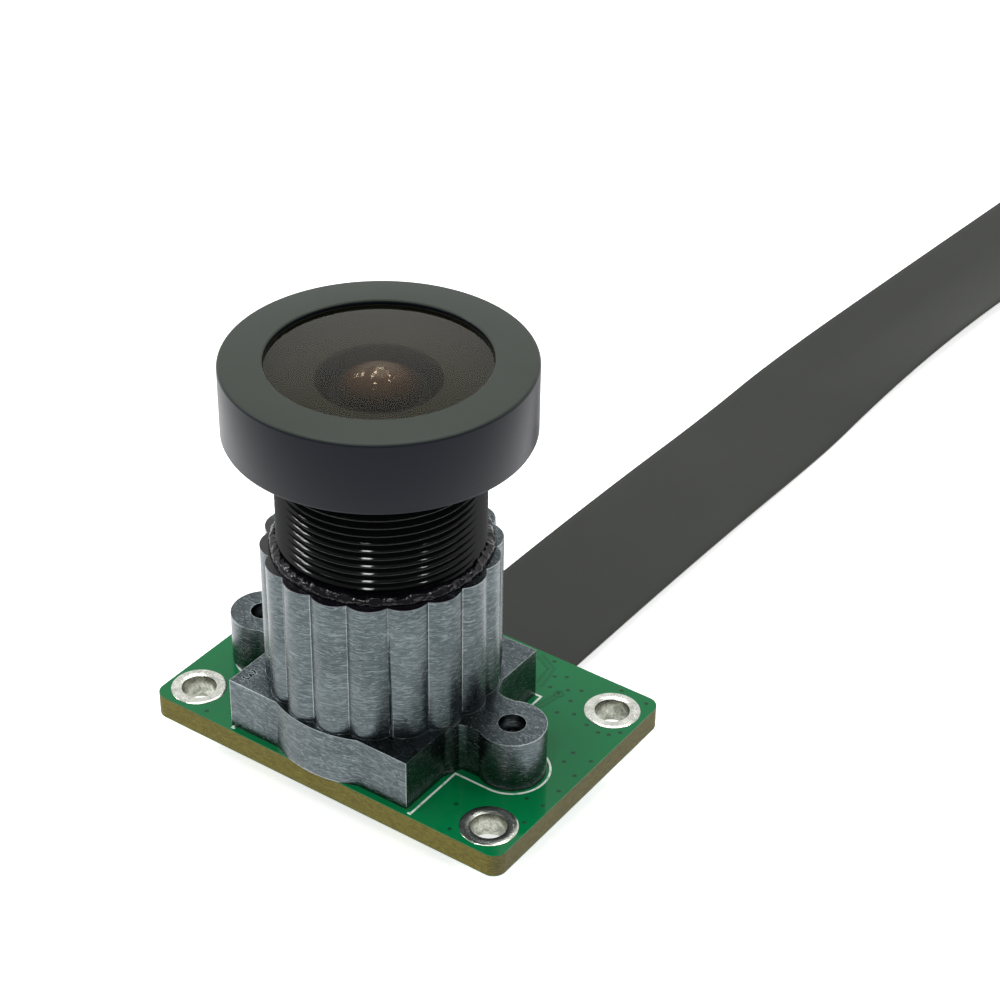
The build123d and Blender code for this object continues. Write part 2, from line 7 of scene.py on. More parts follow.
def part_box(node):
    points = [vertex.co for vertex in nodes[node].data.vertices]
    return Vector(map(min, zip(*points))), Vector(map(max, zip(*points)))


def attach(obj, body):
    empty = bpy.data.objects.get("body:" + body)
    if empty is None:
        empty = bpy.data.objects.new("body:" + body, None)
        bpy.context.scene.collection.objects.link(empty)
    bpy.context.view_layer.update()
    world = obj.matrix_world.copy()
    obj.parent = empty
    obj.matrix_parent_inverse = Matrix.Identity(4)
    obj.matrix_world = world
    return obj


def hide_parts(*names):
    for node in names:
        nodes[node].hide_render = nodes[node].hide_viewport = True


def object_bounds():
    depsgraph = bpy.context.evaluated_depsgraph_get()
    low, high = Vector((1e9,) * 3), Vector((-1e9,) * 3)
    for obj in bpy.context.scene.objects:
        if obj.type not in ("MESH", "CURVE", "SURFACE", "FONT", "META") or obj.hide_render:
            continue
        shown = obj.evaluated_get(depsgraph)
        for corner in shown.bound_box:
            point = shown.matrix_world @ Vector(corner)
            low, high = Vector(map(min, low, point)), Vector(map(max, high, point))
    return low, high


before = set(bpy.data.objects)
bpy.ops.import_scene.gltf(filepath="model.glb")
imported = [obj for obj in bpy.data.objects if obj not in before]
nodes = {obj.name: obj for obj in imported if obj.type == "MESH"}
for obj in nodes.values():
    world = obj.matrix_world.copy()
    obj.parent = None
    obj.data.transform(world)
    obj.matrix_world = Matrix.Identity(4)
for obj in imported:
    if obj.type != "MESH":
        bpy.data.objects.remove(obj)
cad_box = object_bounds()
mm = 0.001

# Camera
# It looks down on the module from the front right, over the board's near corner.
# A long lens close by gives the photograph's perspective.
camera_place = Vector((68.532, -89.568, 91.246)) * mm
camera_azimuth = math.radians(34.659)
camera_elevation = math.radians(33.854)
camera_roll = math.radians(0.849)
camera_data = bpy.data.cameras.new("camera")
camera_data.sensor_width = 36.0
camera_data.lens = 87.77
camera_data.clip_start = 0.005
camera_data.clip_end = 10.0
camera = bpy.data.objects.new("camera", camera_data)
bpy.context.scene.collection.objects.link(camera)
turned_to_azimuth = Matrix.Rotation(camera_azimuth, 4, "Z")
tipped_down = Matrix.Rotation(math.radians(90) - camera_elevation, 4, "X")
rolled = Matrix.Rotation(camera_roll, 4, "Z")
camera.matrix_world = Matrix.Translation(camera_place) @ turned_to_azimuth @ tipped_down @ rolled
bpy.context.scene.camera = camera


# Circuit board
# A glass-fibre laminate 1.5 mm thick, green solder mask on both faces, its rim routed to size.
# The mask stops just short of the rim, and tented vias and a few tracks show through it.
board_low, board_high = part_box("circuit_board")
board_corner = 0.8 * mm
board_rim = 0.06 * mm
mask_edge = 0.05 * mm
plated_bore = 1.1 * mm
screw_bore = 0.9 * mm
hole_places = [(x * 10.5 * mm, y * 6.25 * mm) for y in (-1, 1) for x in (-1, 1)]
holder_low, holder_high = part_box("lens_holder")
lens_x = (holder_low.x + holder_high.x) / 2
cap_low, cap_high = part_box("lens_front_cap")
lens_y = (cap_low.y + cap_high.y) / 2
ear_offset = 9.0 * mm
ear_places = [(lens_x - ear_offset, lens_y), (lens_x + ear_offset, lens_y)]


class Shade:
    """A socket of a material's node tree, on which arithmetic adds the Math nodes."""

    def __init__(self, tree, socket=None):
        self.tree = tree
        self.socket = socket

    def node(self, kind, settings=None, output=0, **inputs):
        """Any node. An input is named, with _ for a space, or numbered, as _0."""
        made = self.tree.nodes.new(kind)
        for name, value in (settings or {}).items():
            setattr(made, name, value)
        for name, value in inputs.items():
            key = int(name[1:]) if name[0] == "_" else name.replace("_", " ")
            if isinstance(value, Shade):
                self.tree.links.new(value.socket, made.inputs[key])
            else:
                made.inputs[key].default_value = value
        return Shade(self.tree, made.outputs[output])

    def maths(self, operation, *values, **settings):
        inputs = {f"_{place}": value for place, value in enumerate(values)}
        return self.node("ShaderNodeMath", {"operation": operation, **settings}, **inputs)

    def __add__(self, other):
        return self.maths("ADD", self, other)

    def __sub__(self, other):
        return self.maths("SUBTRACT", self, other)

    def __rsub__(self, other):
        return self.maths("SUBTRACT", other, self)

    def __mul__(self, other):
        return self.maths("MULTIPLY", self, other)

    __radd__ = __add__
    __rmul__ = __mul__

    def above(self, edge, soft):
        """0 below the edge and 1 above it, changing smoothly over soft on either side."""
        return self.node(
            "ShaderNodeMapRange",
            {"interpolation_type": "SMOOTHSTEP"},
            Value=self,
            From_Min=edge - soft,
            From_Max=edge + soft,
        )

    def part(self, axis):
        return self.node("ShaderNodeSeparateXYZ", output=axis, Vector=self)

    def place(self):
        return self.node("ShaderNodeTexCoord", output="Object")

    def noise(self, scale, detail=4.0, roughness=0.5, stretch=(1, 1, 1), turn=(0, 0, 0), warp=0.0):
        where = self.node("ShaderNodeMapping", Vector=self.place(), Scale=stretch, Rotation=turn)
        return self.node(
            "ShaderNodeTexNoise",
            output="Fac",
            Vector=where,
            Scale=scale,
            Detail=detail,
            Roughness=roughness,
            Distortion=warp,
        )

    def blend(self, low, high):
        low, high = (c if isinstance(c, Shade) else (*c, 1) for c in (low, high))
        return self.node("ShaderNodeMix", {"data_type": "RGBA"}, output=2, _0=self, _6=low, _7=high)


def finish(name, paint, **fixed):
    """paint(shade) gives the sockets that change over the surface, fixed the others."""
    made = bpy.data.materials.new(name)
    made.use_nodes = True
    tree = made.node_tree
    tree.nodes.clear()
    shader = tree.nodes.new("ShaderNodeBsdfPrincipled")
    output = tree.nodes.new("ShaderNodeOutputMaterial")
    tree.links.new(shader.outputs["BSDF"], output.inputs["Surface"])
    for socket, value in fixed.items():
        shader.inputs[socket.replace("_", " ")].default_value = value
    for socket, value in paint(Shade(tree)).items():
        tree.links.new(value.socket, shader.inputs[socket.replace("_", " ")])
    return made


def bump(height, distance, strength=1.0):
    return height.node("ShaderNodeBump", Height=height, Distance=distance, Strength=strength)


def edit(piece, select_by="VERT"):
    bpy.ops.object.select_all(action="DESELECT")
    piece.select_set(True)
    bpy.context.view_layer.objects.active = piece
    bpy.ops.object.mode_set(mode="EDIT")
    bpy.ops.mesh.select_mode(type=select_by)
    bpy.ops.mesh.select_all(action="DESELECT")


def leave_edit():
    bpy.ops.object.mode_set(mode="OBJECT")


def settle(piece, name):
    """Puts a new piece's place and size into its mesh."""
    piece.name = name
    bpy.ops.object.select_all(action="DESELECT")
    piece.select_set(True)
    bpy.context.view_layer.objects.active = piece
    bpy.ops.object.transform_apply(location=True, rotation=True, scale=True)
    return piece


def block(name, low, high):
    bpy.ops.object.select_all(action="DESELECT")
    low, high = Vector(low), Vector(high)
    bpy.ops.mesh.primitive_cube_add(size=1, location=(low + high) / 2)
    made = bpy.context.object
    made.scale = high - low
    return settle(made, name)


def rod(name, x, y, radius, bottom, top, sides=96):
    bpy.ops.object.select_all(action="DESELECT")
    bpy.ops.mesh.primitive_cylinder_add(
        vertices=sides, radius=radius, depth=top - bottom, location=(x, y, (bottom + top) / 2)
    )
    return settle(bpy.context.object, name)


def apply_modifier(piece, kind, **settings):
    bpy.ops.object.select_all(action="DESELECT")
    piece.select_set(True)
    bpy.context.view_layer.objects.active = piece
    modifier = piece.modifiers.new(kind.lower(), kind)
    for name, value in settings.items():
        setattr(modifier, name, value)
    bpy.ops.object.modifier_apply(modifier=modifier.name)


def repeated(piece, places):
    """The piece, which stands at the first place, and a copy of it at each other place."""
    pieces = [piece]
    for x, y in places[1:]:
        made = bpy.data.objects.new(piece.name, piece.data.copy())
        bpy.context.scene.collection.objects.link(made)
        made.data.transform(Matrix.Translation((x - places[0][0], y - places[0][1], 0)))
        pieces.append(made)
    return pieces


def combine(piece, tools, operation):
    for tool in tools:
        apply_modifier(piece, "BOOLEAN", object=tool, operation=operation, solver="EXACT")
        bpy.data.objects.remove(tool)


def bevel_over(piece, angle, width, segments=2):
    """Rounds the edges that turn by more than the angle."""
    apply_modifier(
        piece,
        "BEVEL",
        width=width,
        segments=segments,
        limit_method="ANGLE",
        angle_limit=math.radians(angle),
    )


def bevel_where(piece, chosen, width, segments):
    """Rounds the edges that chosen(one end, other end) picks."""
    edit(piece, "EDGE")
    leave_edit()
    points = piece.data.vertices
    for edge in piece.data.edges:
        edge.select = chosen(points[edge.vertices[0]].co, points[edge.vertices[1]].co)
    bpy.ops.object.mode_set(mode="EDIT")
    bpy.ops.mesh.bevel(offset=width, segments=segments, affect="EDGES", clamp_overlap=True)
    leave_edit()


def smooth(piece, angle=35):
    bpy.ops.object.select_all(action="DESELECT")
    piece.select_set(True)
    bpy.context.view_layer.objects.active = piece
    bpy.ops.object.shade_smooth_by_angle(angle=math.radians(angle))


def dress(piece, material, body="module"):
    piece.data.materials.clear()
    piece.data.materials.append(material)
    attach(piece, body)


def is_upright(a, b):
    return abs(a.x - b.x) < 1e-6 and abs(a.y - b.y) < 1e-6 and abs(a.z - b.z) > 1e-5


board = block("board_laminate", board_low, board_high)
bevel_where(board, is_upright, board_corner, 10)
drill_low, drill_high = -1 * mm, 3 * mm
for places, radius in ((hole_places, plated_bore), (ear_places, screw_bore)):
    first_hole = rod("bore", *places[0], radius, drill_low, drill_high)
    combine(board, repeated(first_hole, places), "DIFFERENCE")
bevel_over(board, 50, board_rim, 3)
smooth(board)
apply_modifier(board, "WEIGHTED_NORMAL", weight=80, keep_sharp=True)


def paint_board(shade):
    height = shade.place().part("Z")
    low_edge = board_low.z + mask_edge
    high_edge = board_high.z - mask_edge
    mask = height.above(high_edge, 0.01 * mm) + (1 - height.above(low_edge, 0.01 * mm))
    weave = shade.noise(1.0, 3.0, 0.7, stretch=(2600, 2600, 9000))
    speckle = shade.noise(9000, 3.0, 0.7)
    layers = (weave * 0.5 + speckle * 0.5).above(0.5, 0.16)
    # Rim faces that turn towards +X get darker copies of the laminate colours: painted shade.
    facing = shade.node("ShaderNodeNewGeometry", output="True Normal")
    painted_shade_right = facing.part("X").above(0.4, 0.4)
    dark = painted_shade_right.blend((0.080, 0.066, 0.007), (0.055, 0.048, 0.011))
    light = painted_shade_right.blend((0.200, 0.170, 0.022), (0.135, 0.120, 0.034))
    laminate = layers.blend(dark, light)
    cloud = shade.noise(500, 2.0, 0.5)
    green = cloud.blend((0.000, 0.132, 0.038), (0.000, 0.160, 0.048))
    grain = shade.noise(14000, 2.0, 0.5)
    return {
        "Base_Color": mask.blend(laminate, green),
        "Roughness": 0.62 - mask * 0.56,
        "Normal": bump(grain * (1 - mask) + cloud * mask * 0.5, 0.02 * mm, 0.5),
    }


dress(board, finish("board_finish", paint_board, IOR=1.34))
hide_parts("circuit_board")

# Plated mounting holes
# A tinned copper ring on each face and the plated bore between them, one piece of metal.
# The solder levelling leaves the rings slightly domed, with a soft edge into the bore.
pad_radius = 1.65 * mm
bore_radius = 1.0 * mm
pad_rise = 0.05 * mm
pad_shoulder = 0.16 * mm
bore_shoulder = 0.12 * mm
top = board_high.z
base = board_low.z


def arc(centre, radius, start, end, steps):
    """Points on an arc of a profile, as distance from the axis and height."""
    turns = [math.radians(start + (end - start) * step / steps) for step in range(steps + 1)]
    return [(centre[0] + radius * math.cos(t), centre[1] + radius * math.sin(t)) for t in turns]


def turned(name, x, y, profile, sides=128):
    """A turned piece: one vertex is extruded from point to point of the profile, then spun."""
    bpy.ops.object.select_all(action="DESELECT")
    bpy.ops.mesh.primitive_plane_add(size=mm, location=(x + profile[0][0], y, profile[0][1]))
    piece = settle(bpy.context.object, name)
    edit(piece)
    bpy.ops.mesh.select_all(action="SELECT")
    bpy.ops.mesh.merge(type="CENTER")
    for (radius, height), (next_radius, next_height) in zip(profile, profile[1:]):
        step = (next_radius - radius, 0, next_height - height)
        bpy.ops.mesh.extrude_region_move(TRANSFORM_OT_translate={"value": step})
    bpy.ops.mesh.select_all(action="SELECT")
    bpy.ops.mesh.spin(steps=sides, angle=math.tau, center=(x, y, 0), axis=(0, 0, 1))
    bpy.ops.mesh.select_all(action="SELECT")
    bpy.ops.mesh.remove_doubles(threshold=1e-7)
    bpy.ops.mesh.normals_make_consistent(inside=False)
    leave_edit()
    smooth(piece)
    return piece


def paint_tin(shade):
    cloud = shade.noise(1400, 3.0, 0.6, warp=1.0)
    grain = shade.noise(9000, 3.0, 0.65)
    mixed = cloud * 0.6 + grain * 0.4
    height = shade.place().part("Z")
    in_bore = height.above(base, 0.05 * mm) - height.above(top - 0.02 * mm, 0.05 * mm)
    bright = mixed.above(0.5, 0.22).blend((0.40, 0.41, 0.37), (0.86, 0.87, 0.79))
    # Inside the bore the tin is painted darker as painted shade, and it is made rougher there.
    bore_shaded_tin = mixed.above(0.5, 0.15).blend((0.18, 0.185, 0.155), (0.60, 0.61, 0.53))
    return {
        "Base_Color": in_bore.blend(bright, bore_shaded_tin),
        "Roughness": 0.12 + grain * 0.14 + in_bore * 0.12,
        "Normal": bump(cloud + grain * 0.3, 0.012 * mm, 0.6),
    }


tin_finish = finish("tin_finish", paint_tin, Metallic=1.0)
ring_steps = [
    (pad_radius, 0),
    (pad_radius, pad_rise * 0.3),
    (pad_radius - pad_shoulder * 0.3, pad_rise * 0.85),
    (pad_radius - pad_shoulder, pad_rise),
    (bore_radius + bore_shoulder, pad_rise),
    (bore_radius + bore_shoulder * 0.3, pad_rise * 0.4),
    (bore_radius, -bore_shoulder * 0.6),
]
pad_profile = [(plated_bore, base)]
pad_profile += [(radius, base - rise) for radius, rise in ring_steps]
pad_profile += [(radius, top + rise) for radius, rise in reversed(ring_steps)]
pad_profile += [(plated_bore, top), (plated_bore, base)]
first_plating = turned("plating", *hole_places[0], pad_profile, sides=96)
for number, plating in enumerate(repeated(first_plating, hole_places), 1):
    plating.name = f"plating_{number}"
    dress(plating, tin_finish)
    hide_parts(f"mounting_hole_{number}")

# Legend ink, tented vias and tracks
# White ink printed on the mask marks the outline that the lens holder is set against. The vias
# are plated holes under the mask, which looks darker over them, and it rises a little over the
# copper tracks.
ink_x = -0.03 * mm
ink_y = -1.57 * mm
ink_half = 6.43 * mm
ink_ear_offset = 8.73 * mm
ink_ear_radius = 2.225 * mm
ink_width = 0.13 * mm
ink_height = 0.015 * mm
sunk = 0.01 * mm
via_radius = 0.13 * mm
via_flatness = 0.06
track_width = 0.2 * mm
ring_place = (7.08 * mm, 5.75 * mm)
track_routes = [
    [(6.48, 3.74), (6.68, 4.24), (6.94, 5.55)],
    [(6.78, 3.74), (6.98, 4.24), (7.20, 5.55)],
    [(4.13, 7.97), (5.20, 7.36), (5.40, 5.92)],
    [(4.21, 8.30), (5.52, 7.56), (5.85, 5.80)],
]
via_places = [
    (5.12, 8.15), (5.96, 6.95), (6.58, 7.32), (6.31, 5.96), (7.33, 6.32), (8.02, 6.74),
    (7.03, 5.75), (8.02, 5.57), (7.97, 4.21), (8.88, 4.66), (10.02, 4.25), (10.94, 4.08),
    (11.54, 4.27), (11.98, 4.81), (9.94, 8.15), (11.76, 7.97), (10.79, 1.70), (10.79, 0.74),
    (12.02, 1.67), (11.97, 0.07), (10.27, 0.06), (7.97, -5.82), (8.90, -7.71), (10.89, -3.12),
    (11.93, -4.86), (11.96, -3.10), (11.99, -1.56), (-8.66, -7.70), (-9.30, 3.20), (-11.2, 1.10),
    (-8.10, 6.90), (-4.20, 7.60), (0.80, 6.60),
]


def legend_shape(name, grow, low, high):
    """The printed outline, a square with a rounded bar across it, as a plate."""
    half = ink_half + grow
    reach = ink_ear_radius + grow
    shape = block(name, (ink_x - half, ink_y - half, low), (ink_x + half, ink_y + half, high))
    bar_low = (ink_x - ink_ear_offset, lens_y - reach, low)
    bar_high = (ink_x + ink_ear_offset, lens_y + reach, high)
    bar = block("bar", bar_low, bar_high)
    end_places = [(ink_x - ink_ear_offset, lens_y), (ink_x + ink_ear_offset, lens_y)]
    ends = repeated(rod("end", *end_places[0], reach, low, high), end_places)
    combine(shape, [bar] + ends, "UNION")
    return shape


ink = legend_shape("legend_ink", ink_width / 2, top - sunk, top + ink_height)
inner = legend_shape("inner", -ink_width / 2, top - mm, top + mm)
gap_half = 6.25 * mm
gap_low = (ink_x - gap_half, -9 * mm, top - mm)
gap_high = (ink_x + gap_half, -7.5 * mm, top + mm)
gap = block("gap", gap_low, gap_high)
combine(ink, [inner, gap], "DIFFERENCE")


def paint_ink(shade):
    grain = shade.noise(9000, 3.0, 0.6)
    worn = shade.noise(2600, 3.0, 0.6).above(0.40, 0.06)
    thin = worn.blend((0.20, 0.42, 0.30), (0.66, 0.72, 0.66))
    return {
        "Base_Color": (grain * 0.4).blend(thin, (0.80, 0.84, 0.78)),
        "Roughness": 0.35 + grain * 0.2,
    }


def speckled(name, dark, light, scale, detail=3.0, harsh=0.6, rough=None, relief=None, **fixed):
    """A finish whose one fine speckle sways its colour, its roughness and its surface."""

    def paint(shade):
        speckle = shade.noise(scale, detail, harsh)
        painted = {"Base_Color": speckle.blend(dark, light)}
        if rough:
            least, spread = rough
            painted["Roughness"] = least + speckle * spread
        if relief:
            painted["Normal"] = bump(speckle, *relief)
        return painted

    return finish(name, paint, **fixed)


def joined(pieces):
    bpy.ops.object.select_all(action="DESELECT")
    for piece in pieces:
        piece.select_set(True)
    bpy.context.view_layer.objects.active = pieces[0]
    bpy.ops.object.join()
    return pieces[0]


dress(ink, finish("ink_finish", paint_ink))
via_finish = speckled(
    "via_finish", (0.000, 0.036, 0.014), (0.000, 0.060, 0.022),
    scale=2500, detail=2.0, harsh=0.5, rough=(0.25, 0.2), IOR=1.3,
)
via_centres = [(x * mm, y * mm) for x, y in via_places]
bpy.ops.object.select_all(action="DESELECT")
bpy.ops.mesh.primitive_uv_sphere_add(
    segments=24, ring_count=12, radius=via_radius, location=(*via_centres[0], top)
)
bpy.context.object.scale = (1, 1, via_flatness)
via_spots = joined(repeated(settle(bpy.context.object, "via_spots"), via_centres))
smooth(via_spots)
dress(via_spots, via_finish)

tracks = []
for route in track_routes:
    for (x, y), (next_x, next_y) in zip(route, route[1:]):
        run = Vector((next_x - x, next_y - y)) * mm
        half = run.length / 2 + track_width / 2
        # Strips that meet differ in height, so that no two of their faces lie in one plane.
        strip_top = top + (0.003 + 0.002 * (len(tracks) % 5)) * mm
        strip_low = (-half, -track_width / 2, top - sunk)
        strip = block("tracks", strip_low, (half, track_width / 2, strip_top))
        strip.rotation_euler.z = math.atan2(run.y, run.x)
        strip.location = ((x + next_x) / 2 * mm, (y + next_y) / 2 * mm, 0)
        tracks.append(settle(strip, "tracks"))
ring_inner, ring_outer = 0.17 * mm, 0.34 * mm
ring_profile = [
    (ring_inner, top - sunk),
    (ring_outer, top - sunk),
    (ring_outer, top + ink_height),
    (ring_inner, top + ink_height),
    (ring_inner, top - sunk),
]
tracks.append(turned("tracks", *ring_place, ring_profile, 48))
track_finish = speckled(
    "track_finish", (0.000, 0.104, 0.032), (0.000, 0.122, 0.038),
    scale=500, detail=2.0, harsh=0.5, rough=(0.08, 0.02), IOR=1.34,
)
dress(joined(tracks), track_finish)

# Image sensor, its cover glass and the infrared filter
# The sensor is soldered to the board under its own glass, inside the lens holder's cavity.
# The filter is a tinted plate glued up under the cavity's roof.


def dress_node(name, material):
    """A CAD node whose shape is right keeps its mesh and gets its finish."""
    node = nodes[name]
    node.data.materials.clear()
    node.data.materials.append(material)
    return node


def clear_finish(name, dark, light, scale, **fixed):
    """Glass with a faint cloud in its tint."""
    return speckled(name, dark, light, scale, 2.0, 0.5, Transmission_Weight=1.0, **fixed)


sensor_finish = speckled(
    "sensor_finish", (0.020, 0.015, 0.030), (0.050, 0.045, 0.060),
    scale=30000, detail=1.0, harsh=0.5, Roughness=0.12,
)
cover_tints = (0.86, 0.93, 0.92), (0.90, 0.95, 0.94)
filter_tints = (0.42, 0.74, 0.72), (0.48, 0.80, 0.77)
dress_node("image_sensor", sensor_finish)
dress_node("sensor_cover_glass", clear_finish("cover_finish", *cover_tints, 400, Roughness=0.03))
dress_node("infrared_filter", clear_finish("filter_finish", *filter_tints, 400, Roughness=0.03))

# Lens holder
# One zinc die casting: a square base, an ear for a screw at each side, a round foot and a tower
# with eighteen lobes. Tumbling has left short fine scratches all over it and bright worn edges.
# All its edges, hollow ones too, are painted lighter, partly wear and partly painted highlight,
# and faces that turn up are painted a little darker as painted shade.
base_side = 12.65 * mm
base_top = 4.8 * mm
tower_top = 13.62 * mm
base_bottom = board_high.z
ear_radius = 2.0 * mm
neck_half = 1.7 * mm
ear_bore = 0.8 * mm
root_fillet = 0.9 * mm
waist_fillet = 0.3 * mm
waist_reach = ear_offset - math.sqrt(ear_radius**2 - neck_half**2)
foot_radius = 6.95 * mm
crest_radius = 6.83 * mm
valley_radius = 6.45 * mm
lobe_count = 18
lobe_foot = base_bottom + 0.4 * mm
holder_bore = 5.95 * mm
cavity_side = 9.65 * mm
cavity_top = 4.0 * mm
bore_floor = 5.0 * mm
window_radius = 4.0 * mm
cast_edge = 0.07 * mm
numeral_place = (-6.30 * mm, -7.23 * mm, base_top)
numeral_size = 1.35 * mm
numeral_depth = 0.1 * mm

holder = block(
    "lens_holder_casting",
    (lens_x - base_side / 2, lens_y - base_side / 2, base_bottom),
    (lens_x + base_side / 2, lens_y + base_side / 2, base_top),
)
neck = block(
    "neck",
    (lens_x - ear_offset, lens_y - neck_half, base_bottom),
    (lens_x + ear_offset, lens_y + neck_half, base_top),
)
ears = [rod("ear", x, y, ear_radius, base_bottom, base_top, 64) for x, y in ear_places]
combine(holder, [neck] + ears, "UNION")


def is_on_neck(a, b):
    return is_upright(a, b) and abs(abs(a.y - lens_y) - neck_half) < 1e-5


def is_ear_root(a, b):
    return is_on_neck(a, b) and abs(abs(a.x - lens_x) - base_side / 2) < 1e-5


def is_ear_waist(a, b):
    return is_on_neck(a, b) and abs(abs(a.x - lens_x) - waist_reach) < 1e-5


bevel_where(holder, is_ear_root, root_fillet, 8)
bevel_where(holder, is_ear_waist, waist_fillet, 4)
half_lobe = math.pi / lobe_count
lobe_half_width = valley_radius * math.sin(half_lobe)
lobe_rise = crest_radius - valley_radius * math.cos(half_lobe)
lobe_radius = (lobe_half_width**2 + lobe_rise**2) / (2 * lobe_rise)
lobe_offset = crest_radius - lobe_radius
foot = rod("foot", lens_x, lens_y, foot_radius, base_bottom, base_top, 160)
core = rod("core", lens_x, lens_y, valley_radius - 0.05 * mm, base_bottom, tower_top, 144)
lobes = []
for lobe in range(lobe_count):
    turn = math.tau * lobe / lobe_count
    lobe_x = lens_x + lobe_offset * math.cos(turn)
    lobe_y = lens_y + lobe_offset * math.sin(turn)
    lobes.append(rod("lobe", lobe_x, lobe_y, lobe_radius, lobe_foot, tower_top, 48))
combine(core, lobes, "UNION")
combine(holder, [foot, core], "UNION")
cavity = block(
    "cavity",
    (lens_x - cavity_side / 2, lens_y - cavity_side / 2, base_bottom - mm),
    (lens_x + cavity_side / 2, lens_y + cavity_side / 2, cavity_top),
)
window = rod("window", lens_x, lens_y, window_radius, cavity_top - mm, bore_floor + mm)
bore = rod("bore", lens_x, lens_y, holder_bore, bore_floor, tower_top + mm, 144)
bores = [window, bore]
for x, y in ear_places:
    bores.append(rod("bore", x, y, ear_bore, base_bottom - mm, base_top + mm, 48))
combine(holder, [cavity] + bores, "DIFFERENCE")
bevel_over(holder, 40, cast_edge)
smooth(holder, 30)


def paint_casting(shade):
    here = shade.place()
    height = here.part("Z")
    normal = shade.node("ShaderNodeNewGeometry", output="Normal")
    # Every edge, raised or hollow, is found from the bevel normal and painted lighter: partly worn
    # metal, partly painted highlight.
    rounded = shade.node("ShaderNodeBevel", {"samples": 6}, Radius=0.10 * mm)
    alike = shade.node(
        "ShaderNodeVectorMath", {"operation": "DOT_PRODUCT"}, output=1, _0=rounded, _1=normal
    )
    worn = (1 - alike).above(0.05, 0.04)

    def strokes(stretch, turn, warp):
        return shade.noise(1.0, 5.0, 0.66, stretch, turn, warp)

    level = strokes((1300, 1300, 9000), (0.12, 0.1, 0.0), 1.8)
    slanted = strokes((1500, 1500, 6500), (0.35, 0.85, 0.0), 1.8)
    lying = strokes((2200, 5200, 900), (0.0, 0.0, 0.8), 2.0)
    on_tower = height.above(base_top + 0.1 * mm, 0.3 * mm)
    facing_up = normal.part("Z").above(0.7, 0.2)
    walls = level * on_tower + slanted * (1 - on_tower)
    stroke = walls * (1 - facing_up) + lying * facing_up
    light_scratch = stroke.above(0.60, 0.06)
    fine_scratch = stroke.above(0.51, 0.06)
    cloud = shade.noise(420, 3.0, 0.55)
    # Faces that turn up are painted a little darker: painted shade.
    tone = cloud * 0.30 + fine_scratch * 0.22 + light_scratch * 0.25 - facing_up * 0.05
    bare = tone.blend((0.030, 0.041, 0.045), (0.246, 0.286, 0.298))
    worn_and_highlit = (worn * cloud * 1.4).blend(bare, (0.46, 0.50, 0.51))
    on_top = height.above(tower_top - 0.03 * mm, 0.01 * mm)
    in_front = 1 - (here.part("Y") + cloud * 2.0 * mm).above(lens_y - 1.2 * mm, 0.3 * mm)
    smeared = on_top * in_front
    return {
        "Base_Color": smeared.blend(worn_and_highlit, (0.006, 0.005, 0.008)),
        "Metallic": 1 - smeared,
        "Roughness": 0.15 + stroke * 0.20 - smeared * 0.08,
        "Normal": bump(stroke, 0.03 * mm, 0.5),
    }


bpy.ops.object.select_all(action="DESELECT")
bpy.ops.object.text_add(location=numeral_place)
bpy.context.object.data.body = "3"
bpy.context.object.data.size = numeral_size
bpy.context.object.data.extrude = numeral_depth
bpy.ops.object.convert(target="MESH")
numeral = settle(bpy.context.object, "numeral")
combine(holder, [numeral], "DIFFERENCE")
smooth(holder, 30)
apply_modifier(holder, "WEIGHTED_NORMAL", weight=80, keep_sharp=True)
dress(holder, finish("casting_finish", paint_casting))
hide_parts("lens_holder")

# Holder screws
# Two small steel screws driven up through the board into the ears, with a pan head and a cross
# recess below and a fine rolled thread that shows down each ear's hole.
screw_top = 3.8 * mm
screw_radius = 0.76 * mm
screw_core = 0.66 * mm
screw_pitch = 0.35 * mm
head_radius = 1.4 * mm
head_height = 0.9 * mm
recess_half = 0.85 * mm
recess_width = 0.3 * mm
recess_depth = 0.45 * mm
head_round = 0.35 * mm

steel_finish = speckled(
    "steel_finish", (0.42, 0.42, 0.43), (0.62, 0.62, 0.62),
    scale=8000, rough=(0.25, 0.2), Metallic=1.0,
)
screw_profile = [(0, screw_top), (screw_core - 0.15 * mm, screw_top)]
turns_of_thread = int((screw_top - 0.2 * mm) / screw_pitch)
for turn in range(turns_of_thread):
    level = screw_top - 0.1 * mm - turn * screw_pitch
    screw_profile += [(screw_core, level), (screw_radius, level - screw_pitch / 2)]
screw_profile += [(screw_core, 0.02 * mm), (screw_core, 0)]
screw_profile += [(head_radius - 0.05 * mm, 0), (head_radius, -0.05 * mm)]
screw_profile += arc((head_radius - head_round, head_round - head_height), head_round, 0, -90, 6)
screw_profile += [(0, -head_height)]
screw_x, screw_y = ear_places[0]
first_screw = turned("screw", screw_x, screw_y, screw_profile, sides=64)
for half_x, half_y in ((recess_half, recess_width / 2), (recess_width / 2, recess_half)):
    slot_low = (screw_x - half_x, screw_y - half_y, -head_height - mm)
    slot_high = (screw_x + half_x, screw_y + half_y, -head_height + recess_depth)
    combine(first_screw, [block("slot", slot_low, slot_high)], "DIFFERENCE")
smooth(first_screw)
for number, screw in enumerate(repeated(first_screw, ear_places), 1):
    screw.name = f"screw_{number}"
    dress(screw, steel_finish)
    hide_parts(f"holder_screw_{number}")

# Lens barrel
# A turned aluminium tube, anodised gloss black, with a 0.5 mm thread from end to end.
# Its flange carries the front glass, and a ledge inside it carries the rear lens.
barrel_bottom = 6.2 * mm
head_bottom = cap_low.z
glass_seat = 22.8 * mm
thread_radius = 5.9 * mm
thread_root = 5.66 * mm
thread_pitch = 0.5 * mm
barrel_bore = 4.23 * mm
ledge_bore = 3.43 * mm
ledge_top = 7.4 * mm
flange_radius = 7.6 * mm
seal_outer = 6.25 * mm
seal_inner = 5.65 * mm
seal_floor = 22.35 * mm

